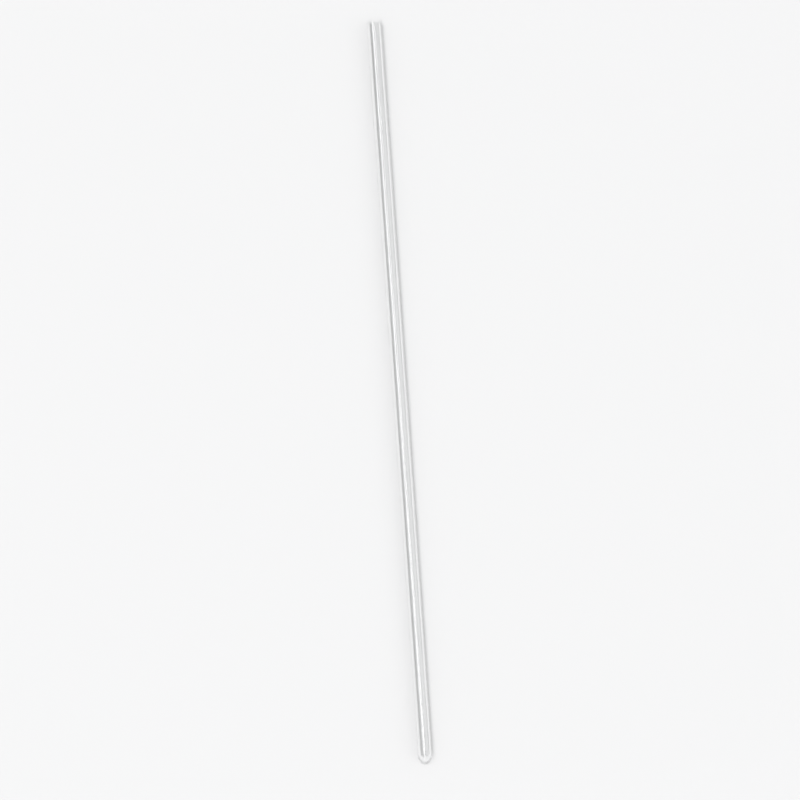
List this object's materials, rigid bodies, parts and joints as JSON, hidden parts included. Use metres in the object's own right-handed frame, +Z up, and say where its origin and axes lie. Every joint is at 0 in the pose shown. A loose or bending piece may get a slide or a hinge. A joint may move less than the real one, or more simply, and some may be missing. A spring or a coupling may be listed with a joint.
{
  "type": "glass capillary tube",
  "caption": "Straight clear glass capillary tube with one end melted shut into a rounded tip and an open, lightly glazed mouth, for holding a powder sample in a melting-point block.",
  "frame": {"origin": "on the surface that the tube lies on, under the middle of its length", "axes": "+X along the tube from the closed tip towards the mouth, +Z up, +Y across the tube"},
  "size_m": [0.08, 0.0016, 0.0016],
  "materials": {
    "clear_glass": "clear drawn glass, flame-smooth at both ends"
  },
  "bodies": {
    "root": {"capillary_tube": "clear_glass"}
  },
  "joints": []
}
